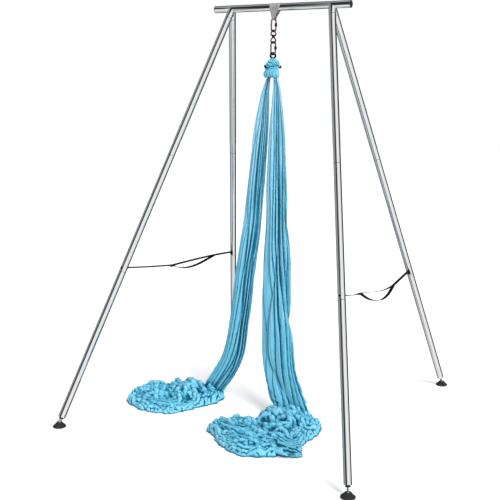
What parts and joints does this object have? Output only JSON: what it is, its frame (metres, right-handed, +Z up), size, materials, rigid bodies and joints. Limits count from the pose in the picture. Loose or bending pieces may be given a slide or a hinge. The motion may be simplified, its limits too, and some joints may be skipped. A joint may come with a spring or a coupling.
{
  "type": "aerial rig",
  "caption": "Free-standing A-frame aerial rig of steel tube with a crossbar, a sling, carabiners, a swivel and a rescue eight holding a knotted aerial silk.",
  "frame": {"origin": "on the floor, below the middle of the crossbar and of the four feet", "axes": "+Z up, +X along the crossbar to the right, -Y towards the front, where the feet stand wider apart"},
  "size_m": [2.2466, 2.393, 2.9488],
  "materials": {
    "polished_tube": "polished",
    "zinc_steel": "satin zinc",
    "black_steel": "satin black",
    "bare_alloy": "polished",
    "red_anodised": "anodised",
    "black_anodised": "anodised",
    "black_rubber": "moulded",
    "black_plastic": "matt",
    "black_webbing": "woven webbing",
    "grey_webbing": "woven webbing",
    "blue_silk": "knitted nylon"
  },
  "bodies": {
    "frame": {"crossbar": "polished_tube", "bar_cap_left": "black_plastic", "bar_cap_right": "black_plastic", "leg_front_left_upper": "polished_tube", "leg_front_left_middle": "polished_tube", "leg_front_left_lower": "polished_tube", "leg_front_right_upper": "polished_tube", "leg_front_right_middle": "polished_tube", "leg_front_right_lower": "polished_tube", "leg_rear_left_upper": "polished_tube", "leg_rear_left_middle": "polished_tube", "leg_rear_left_lower": "polished_tube", "leg_rear_right_upper": "polished_tube", "leg_rear_right_middle": "polished_tube", "leg_rear_right_lower": "polished_tube", "strap_bolt_front_left": "black_steel", "strap_bolt_front_right": "black_steel", "strap_bolt_rear_left": "black_steel", "strap_bolt_rear_right": "black_steel", "foot_insert_front_left": "black_steel", "foot_insert_front_right": "black_steel", "foot_insert_rear_left": "black_steel", "foot_insert_rear_right": "black_steel", "foot_lock_nut_front_left": "black_steel", "foot_lock_nut_front_right": "black_steel", "foot_lock_nut_rear_left": "black_steel", "foot_lock_nut_rear_right": "black_steel", "strap_left_lead": "black_webbing", "strap_left_loop": "black_webbing", "strap_left_slider": "black_plastic", "strap_right_lead": "black_webbing", "strap_right_loop": "black_webbing", "strap_right_slider": "black_plastic", "silk_left_lower": "blue_silk", "silk_right_lower": "blue_silk", "silk_left_pile": "blue_silk", "silk_right_pile": "blue_silk"},
    "suspension": {"sling": "grey_webbing", "upper_carabiner_body": "bare_alloy", "swivel_bail": "red_anodised", "silk_left_upper": "blue_silk", "silk_right_upper": "blue_silk"},
    "upper_gate": {"upper_carabiner_gate": "bare_alloy"},
    "upper_sleeve": {"upper_carabiner_sleeve": "red_anodised"},
    "rotor": {"swivel_ring": "black_anodised", "lower_carabiner_body": "bare_alloy", "rescue_eight": "black_anodised", "silk_knot": "blue_silk"},
    "lower_gate": {"lower_carabiner_gate": "bare_alloy"},
    "lower_sleeve": {"lower_carabiner_sleeve": "red_anodised"},
    "stud_front_left": {"foot_stud_front_left": "zinc_steel"},
    "pad_front_left": {"foot_pad_front_left": "black_rubber"},
    "stud_front_right": {"foot_stud_front_right": "zinc_steel"},
    "pad_front_right": {"foot_pad_front_right": "black_rubber"},
    "stud_rear_left": {"foot_stud_rear_left": "zinc_steel"},
    "pad_rear_left": {"foot_pad_rear_left": "black_rubber"},
    "stud_rear_right": {"foot_stud_rear_right": "zinc_steel"},
    "pad_rear_right": {"foot_pad_rear_right": "black_rubber"}
  },
  "joints": [
    {"name": "suspension_swing", "type": "hinge", "parent": "frame", "child": "suspension", "pos_m": [0, 0, 2.92], "axis": [1, 0, 0], "range_deg": [-25, 25]},
    {"name": "swivel_spin", "type": "hinge", "parent": "suspension", "child": "rotor", "pos_m": [-0.052, 0, 2.6989], "axis": [0, 0, 1], "continuous": true},
    {"name": "upper_gate_hinge", "type": "hinge", "parent": "suspension", "child": "upper_gate", "pos_m": [-0.02945, -0.00957, 2.78006], "axis": [-0.3907, -0.9205, 0], "range_deg": [0, 25], "stiffness_Nm_per_rad": 0.2, "springref_deg": -20.05},
    {"name": "upper_sleeve_slide", "type": "slide", "parent": "upper_gate", "child": "upper_sleeve", "axis": [0, 0, 1], "range_m": [0, 0.016]},
    {"name": "lower_gate_hinge", "type": "hinge", "parent": "rotor", "child": "lower_gate", "pos_m": [-0.02945, -0.00957, 2.62146], "axis": [-0.3907, -0.9205, 0], "range_deg": [0, 25], "stiffness_Nm_per_rad": 0.2, "springref_deg": -20.05},
    {"name": "lower_sleeve_slide", "type": "slide", "parent": "lower_gate", "child": "lower_sleeve", "axis": [0, 0, 1], "range_m": [0, 0.016]},
    {"name": "stud_slide_front_left", "type": "slide", "parent": "frame", "child": "stud_front_left", "axis": [0.2167, 0.3613, 0.9069], "range_m": [-0.01, 0.014]},
    {"name": "pad_tilt_front_left", "type": "hinge", "parent": "stud_front_left", "child": "pad_front_left", "pos_m": [-1.0785, -1.1505, 0.032], "axis": [-0.8576, 0.5144, 0], "range_deg": [-8, 8]},
    {"name": "stud_slide_front_right", "type": "slide", "parent": "frame", "child": "stud_front_right", "axis": [-0.2167, 0.3613, 0.9069], "range_m": [-0.01, 0.014]},
    {"name": "pad_tilt_front_right", "type": "hinge", "parent": "stud_front_right", "child": "pad_front_right", "pos_m": [1.0785, -1.1505, 0.032], "axis": [-0.8576, -0.5144, 0], "range_deg": [-8, 8]},
    {"name": "stud_slide_rear_left", "type": "slide", "parent": "frame", "child": "stud_rear_left", "axis": [0.1871, -0.3636, 0.9126], "range_m": [-0.01, 0.014]},
    {"name": "pad_tilt_rear_left", "type": "hinge", "parent": "stud_rear_left", "child": "pad_rear_left", "pos_m": [-0.9805, 1.1505, 0.032], "axis": [0.8892, 0.4576, 0], "range_deg": [-8, 8]},
    {"name": "stud_slide_rear_right", "type": "slide", "parent": "frame", "child": "stud_rear_right", "axis": [-0.1871, -0.3636, 0.9126], "range_m": [-0.01, 0.014]},
    {"name": "pad_tilt_rear_right", "type": "hinge", "parent": "stud_rear_right", "child": "pad_rear_right", "pos_m": [0.9805, 1.1505, 0.032], "axis": [0.8892, -0.4576, 0], "range_deg": [-8, 8]}
  ]
}
